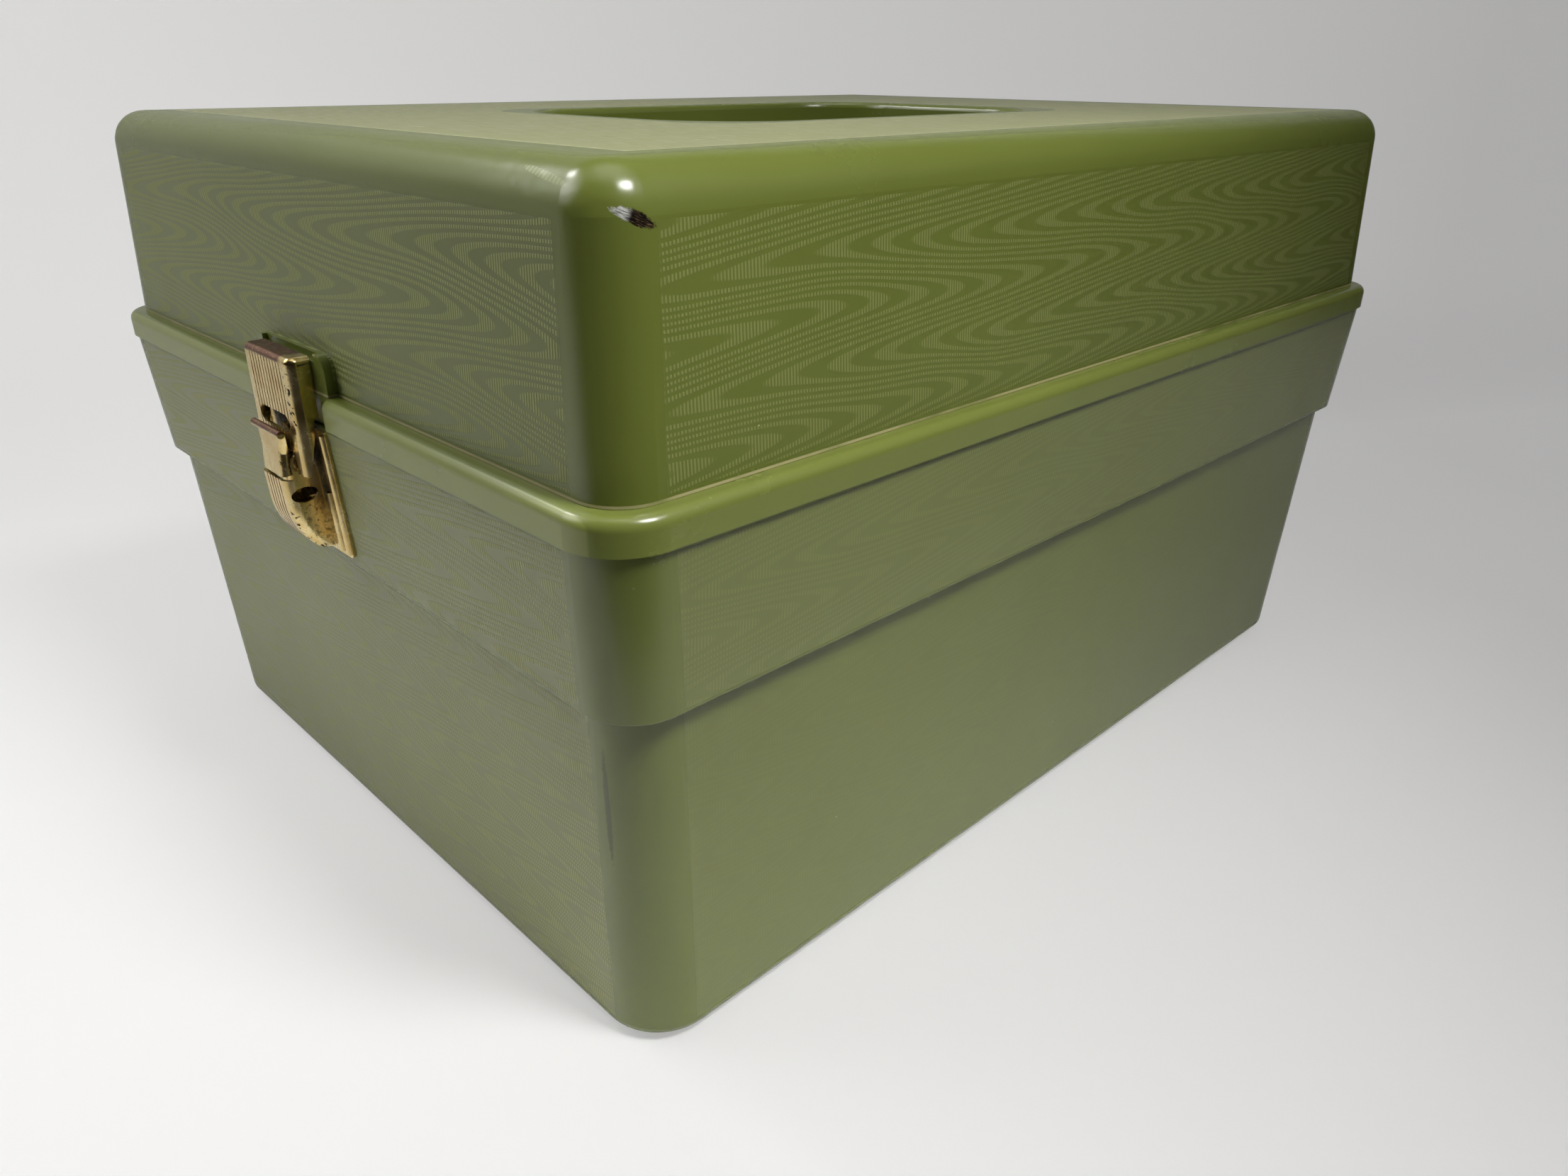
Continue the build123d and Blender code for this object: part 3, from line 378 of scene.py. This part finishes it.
def brass_plated(name, lip=None, bends=(), dark=()):
    """Stamped steel, brass plated and lacquered long ago: pale gold where it is worn, brown along the lip
    that fingers touch, black in small pits and along the worn bends, and painted shade, nearly black, in the
    recesses behind where the other parts shade it. Lip is where the brown starts upwards and ends to the
    right, bends are spans across and up, and dark is spans across, a depth and spans up of that painted
    shade, all in millimetres."""
    material, tree = new_material(name)
    point, x, y, z = place_in_mm(tree)
    cloud = add(tree, "TexNoise", point, named={"Scale": 0.16, "Detail": 5.0, "Roughness": 0.65}, out="Fac")
    fine = add(tree, "TexNoise", point, named={"Scale": 0.8, "Detail": 3.0, "Roughness": 0.65}, out="Fac")
    colour = blend_colour(tree, step_up(tree, cloud, 0.35, 0.3), "#cfb474", "#e0cd98")
    rough = add(tree, "MapRange", cloud, 0.3, 0.7, 0.18, 0.32)
    stain = both(tree, step_up(tree, fine, 0.66, 0.04), step_up(tree, cloud, 0.52, 0.10))
    for sides, heights in bends:
        bend = both(tree, within(tree, x, *sides, 0.8), within(tree, z, *heights, 2.0))
        pitted = both(tree, bend, step_up(tree, fine, 0.55, 0.06))
        stain = add(tree, "Math", stain, pitted, operation="MAXIMUM")
    colour = blend_colour(tree, stain, colour, "#2e2213")
    if lip is not None:
        height, until = lip
        touched = add(tree, "MapRange", x, until, until + 2.0, 1.0, 0.0)
        patchy = add(tree, "MapRange", fine, 0.25, 0.45, 0.6, 1.0)
        browned = both(tree, step_up(tree, z, height, 0.8), touched, patchy)
        colour = blend_colour(tree, browned, colour, "#70503f")
        rough = add(tree, "Math", browned, 0.12, rough, operation="MULTIPLY_ADD")
    # Painted shade: nearly black over the spans that the other parts shade
    for sides, depth, heights in dark:
        shade_behind = both(
            tree,
            within(tree, x, *sides, 2.4),
            step_up(tree, y, depth, 0.4),
            within(tree, z, *heights, 6.0),
            add(tree, "MapRange", fine, 0.35, 0.6, 0.75, 0.95),
        )
        colour = blend_colour(tree, shade_behind, colour, "#1b140c")
        rough = add(tree, "Math", shade_behind, 0.2, rough, operation="MULTIPLY_ADD")
    rough = add(tree, "Math", stain, 0.25, rough, operation="MULTIPLY_ADD")
    dents = add(tree, "Bump", named={"Strength": 0.1, "Distance": 0.15 * MM, "Height": cloud})
    finish_surface(tree, base_color=colour, metallic=1.0, roughness=rough, normal=dents)
    return material


def zinc_steel():
    """Drawn steel wire, bright zinc plated, with a faint draw grain."""
    material, tree = new_material("bright zinc-plated steel")
    point = place_in_mm(tree)[0]
    grain = add(tree, "TexNoise", point, named={"Scale": 0.8, "Detail": 3.0}, out="Fac")
    colour = blend_colour(tree, grain, "#9a9a96", "#b8b8b2")
    rough = add(tree, "MapRange", grain, 0.3, 0.7, 0.25, 0.42)
    finish_surface(tree, base_color=colour, metallic=1.0, roughness=rough)
    return material


def paint(node, material):
    """Give a CAD node its finish."""
    mesh = nodes[node].data
    mesh.materials.clear()
    mesh.materials.append(material)


lid_green = moulded_green("avocado polystyrene, lid", [LID_WALL], is_lid=True)
base_green = moulded_green("avocado polystyrene, base", [BAND_WALL, BODY_WALL])
handle_green = plain_green("avocado polystyrene, handle")
ivory = tray_polystyrene()
brass = brass_plated("brass-plated stamped steel")
# The dark spans of the latch pieces are painted shade behind the pieces in front of them
hook_brass = brass_plated(
    "brass-plated stamped steel, hook", lip=(147.2, 8.0), bends=(((9.6, 13.0), (128.0, 147.0)),),
    dark=(((-13.2, 13.2), -178.1, (104.0, 152.0)),))
lever_brass = brass_plated(
    "brass-plated stamped steel, lever", lip=(129.6, 20.0), bends=(((4.6, 6.6), (114.0, 126.0)),),
    dark=(((-5.4, 5.4), -181.0, (108.0, 129.0)),))
plate_brass = brass_plated(
    "brass-plated stamped steel, plate", bends=(((5.4, 8.0), (96.0, 112.0)),),
    dark=(((-14.0, 14.0), -179.0, (119.0, 147.0)), ((6.8, 14.4), -176.5, (107.0, 131.0))))
zinc = zinc_steel()

finishes = {
    "lid_shell": lid_green,
    "base_shell": base_green,
    "carry_handle": handle_green,
    "lower_tray": ivory,
    "upper_tray": ivory,
    "latch_hook": hook_brass,
    "latch_lever": lever_brass,
    "latch_backplate": plate_brass,
    "handle_pin_front": zinc,
    "handle_pin_rear": zinc,
    "latch_hook_pin": zinc,
    "hinge_left_pin": zinc,
    "hinge_right_pin": zinc,
}
for node in nodes:
    paint(node, finishes.get(node, brass))


# Stage: pale table and wall in one sweep, in metres. Its own directions are along the wall and out from it.
WALL_CENTRE = Vector((-0.206, 0.2643, 0))
ALONG_WALL = Vector((0.512, 0.859, 0)).normalized()
OUT_OF_WALL = Vector((ALONG_WALL.y, -ALONG_WALL.x, 0))
SWEEP_BEND = 0.10
SWEEP_HALF = 2.5
WALL_HEIGHT = 0.6

# The box has the pale table this far along and out, and the dark room beyond
TABLE_END = 0.52
TABLE_EDGE = 0.61


def painted_board():
    """Matt white emulsion paint on board. Past the table the box sees it dark, a painted shade standing for
    the dark room. Where the camera or a gloss sees it, it glows with painted light up to pale grey, less so
    to the right and towards the table's near edge, and the shadows stay on it. Nothing hides the box from
    behind, since the board's back lets the camera through."""
    material, tree = new_material("matt white painted board")
    place = add(tree, "TexCoord", out="Object")
    from_centre = add(tree, "VectorMath", place, -WALL_CENTRE, operation="ADD")
    along = add(tree, "VectorMath", from_centre, ALONG_WALL, out="Value", operation="DOT_PRODUCT")
    out = add(tree, "VectorMath", from_centre, OUT_OF_WALL, out="Value", operation="DOT_PRODUCT")
    height = add(tree, "SeparateXYZ", place, out="Z")

    # A gloss sees less of the lift than the camera does
    in_camera, in_gloss, through = (
        add(tree, "LightPath", out=f"Is {kind} Ray") for kind in ("Camera", "Glossy", "Transmission"))
    mirrored = both(tree, add(tree, "Math", in_gloss, through, operation="MAXIMUM"), 0.4)
    seen = add(tree, "Math", in_camera, mirrored, operation="MAXIMUM")

    grain = add(tree, "TexNoise", place, named={"Scale": 6.0, "Detail": 3.0}, out="Fac")
    paint_tone = blend_colour(tree, grain, "#ebeaea", "#f0efef")
    shaded_tone = blend_colour(tree, grain, "#a1a0a0", "#a6a5a5")
    colour = blend_colour(tree, seen, paint_tone, shaded_tone)
    # Painted shade: past the table the board is dark to rays from the box, standing for the dark room
    past_table = add(
        tree,
        "Math",
        step_up(tree, along, TABLE_END, 0.3),
        step_up(tree, out, TABLE_EDGE, 0.06),
        operation="MAXIMUM",
    )
    away = both(tree, past_table, add(tree, "Math", 1.0, in_camera, operation="SUBTRACT"))
    colour = blend_colour(tree, away, colour, "#242322")

    # Painted light: the glow that the camera and gloss see, brighter at the left, dimmer to the right and
    # towards the table's near edge
    near_edge = add(tree, "MapRange", out, 0.36, TABLE_EDGE, 0.0, 0.08)
    table_lift = add(tree, "MapRange", along, -0.43, 0.33, 0.52, 0.31)
    table_lift = add(tree, "Math", table_lift, near_edge, operation="SUBTRACT")
    wall_lift = add(tree, "MapRange", along, -0.43, 0.45, 0.60, 0.36)
    on_wall = step_up(tree, height, 0.0, 0.10)
    lift = add(tree, "Mix", on_wall, None, table_lift, wall_lift, data_type="FLOAT")
    here = add(tree, "Math", 1.0, away, operation="SUBTRACT")
    front = add(
        tree,
        "BsdfPrincipled",
        named={
            "Base Color": colour,
            "Roughness": 0.6,
            "Emission Color": linear("#fffefd"),
            "Emission Strength": both(tree, seen, lift, here),
        },
    )
    behind = both(tree, add(tree, "NewGeometry", out="Backfacing"), in_camera)
    shown = add(tree, "MixShader", behind, front, add(tree, "BsdfTransparent"))
    add(tree, "OutputMaterial", shown)
    return material


def make_sweep():
    """Floor sheet with its far edge drawn up into a wall, and the crease between them rounded."""
    bm = bmesh.new()
    bmesh.ops.create_grid(bm, x_segments=1, y_segments=1, size=SWEEP_HALF)
    bmesh.ops.translate(bm, verts=bm.verts, vec=(0, -SWEEP_HALF, 0))
    crease = [edge for edge in bm.edges if all(abs(vert.co.y) < 1e-6 for vert in edge.verts)]
    raised = bmesh.ops.extrude_edge_only(bm, edges=crease)["geom"]
    top = [part for part in raised if isinstance(part, bmesh.types.BMVert)]
    bmesh.ops.translate(bm, verts=top, vec=(0, 0, WALL_HEIGHT))
    bmesh.ops.bevel(
        bm, geom=crease, offset=SWEEP_BEND, offset_type="OFFSET", segments=12, profile=0.5,
        affect="EDGES", material=-1)
    place = Matrix((ALONG_WALL, -OUT_OF_WALL, Vector((0, 0, 1)))).transposed().to_4x4()
    bmesh.ops.transform(bm, matrix=Matrix.Translation(WALL_CENTRE) @ place, verts=bm.verts)
    for face in bm.faces:
        face.smooth = True
    mesh = bpy.data.meshes.new("studio_sweep")
    bm.to_mesh(mesh)
    bm.free()
    mesh.materials.append(painted_board())
    sweep = bpy.data.objects.new("studio_sweep", mesh)
    bpy.context.scene.collection.objects.link(sweep)


make_sweep()


def add_lamp(name, place, aim, size, power, spread=180):
    """Round lamp at a place in metres, aimed at a point, with power in watts and spread in degrees."""
    data = bpy.data.lights.new(name, "AREA")
    data.shape = "DISK"
    data.size = size
    data.energy = power
    data.spread = math.radians(spread)
    lamp = bpy.data.objects.new(name, data)
    lamp.location = place
    lamp.rotation_euler = (Vector(place) - Vector(aim)).to_track_quat("Z", "Y").to_euler()
    bpy.context.scene.collection.objects.link(lamp)


BOX_MIDDLE = (0, 0, 0.15)
NEAR_CORNER = (0.13, -0.15, 0.12)
add_lamp("left ceiling lamp", (-0.99, -0.41, 1.20), BOX_MIDDLE, 0.26, 3.6)
add_lamp("right ceiling lamp", (0.55, 0.0, 0.85), NEAR_CORNER, 0.25, 0.66, spread=50)

# The ceiling and the left window are two round panels each, the smaller one just in front of the larger, so
# that their edges are soft in the gloss
LEFT_WINDOW = (-1.04, -1.04, 1.19)
PANEL_STEP = 0.01
for size, power in ((1.1, 3.1), (2.0, 5.9)):
    add_lamp("pale ceiling", (0, 0, 1.95 + size * PANEL_STEP), BOX_MIDDLE, size, power)
for size, power in ((0.8, 4.6), (1.5, 9.2)):
    place = tuple(c * (1.0 + size * PANEL_STEP) for c in LEFT_WINDOW)
    add_lamp("broad window to the left", place, BOX_MIDDLE, size, power)
add_lamp("broad window to the right", (1.31, 0.87, 1.02), BOX_MIDDLE, 1.2, 0.6)


def make_world():
    """Dim room round about, plain and pale where the camera looks at it."""
    world = bpy.data.worlds.new("room")
    bpy.context.scene.world = world
    world.use_nodes = True
    tree = world.node_tree
    tree.nodes.clear()
    in_camera = add(tree, "LightPath", out="Is Camera Ray")
    colour = blend_colour(tree, in_camera, "#201f1f", "#dddcda")
    add(tree, "OutputWorld", add(tree, "Background", colour))


make_world()

# Camera at the photograph's place: its angles in degrees, its place in millimetres, its focal length and the
# photograph's width in pixels, and its sensor in millimetres
YAW, PITCH, ROLL = 45.463, 25.367, 0.302
CAMERA_PLACE = (279.016, -275.877, 212.682)
FOCAL_LENGTH = 1564.479
PHOTO_WIDTH = 2212
SENSOR_WIDTH = 36


def place_camera():
    """Camera that looks along the photograph's line of sight, with its slight roll."""
    data = bpy.data.cameras.new("camera")
    camera = bpy.data.objects.new("camera", data)
    bpy.context.scene.collection.objects.link(camera)
    bpy.context.scene.camera = camera
    yaw, pitch, roll = (math.radians(angle) for angle in (YAW, PITCH, ROLL))
    sight = Vector((-math.sin(yaw) * math.cos(pitch), math.cos(yaw) * math.cos(pitch), -math.sin(pitch)))
    level = Vector((math.cos(yaw), math.sin(yaw), 0))
    over = level.cross(sight)
    sideways = level * math.cos(roll) + over * math.sin(roll)
    upwards = over * math.cos(roll) - level * math.sin(roll)
    turn = Matrix((sideways, upwards, -sight)).transposed()
    camera.matrix_world = Matrix.Translation(Vector(CAMERA_PLACE) * MM) @ turn.to_4x4()
    data.sensor_width = SENSOR_WIDTH
    data.sensor_fit = "HORIZONTAL"
    data.lens = SENSOR_WIDTH * FOCAL_LENGTH / PHOTO_WIDTH
    data.clip_start = 0.01


place_camera()

bpy.context.scene.view_settings.view_transform = "Standard"
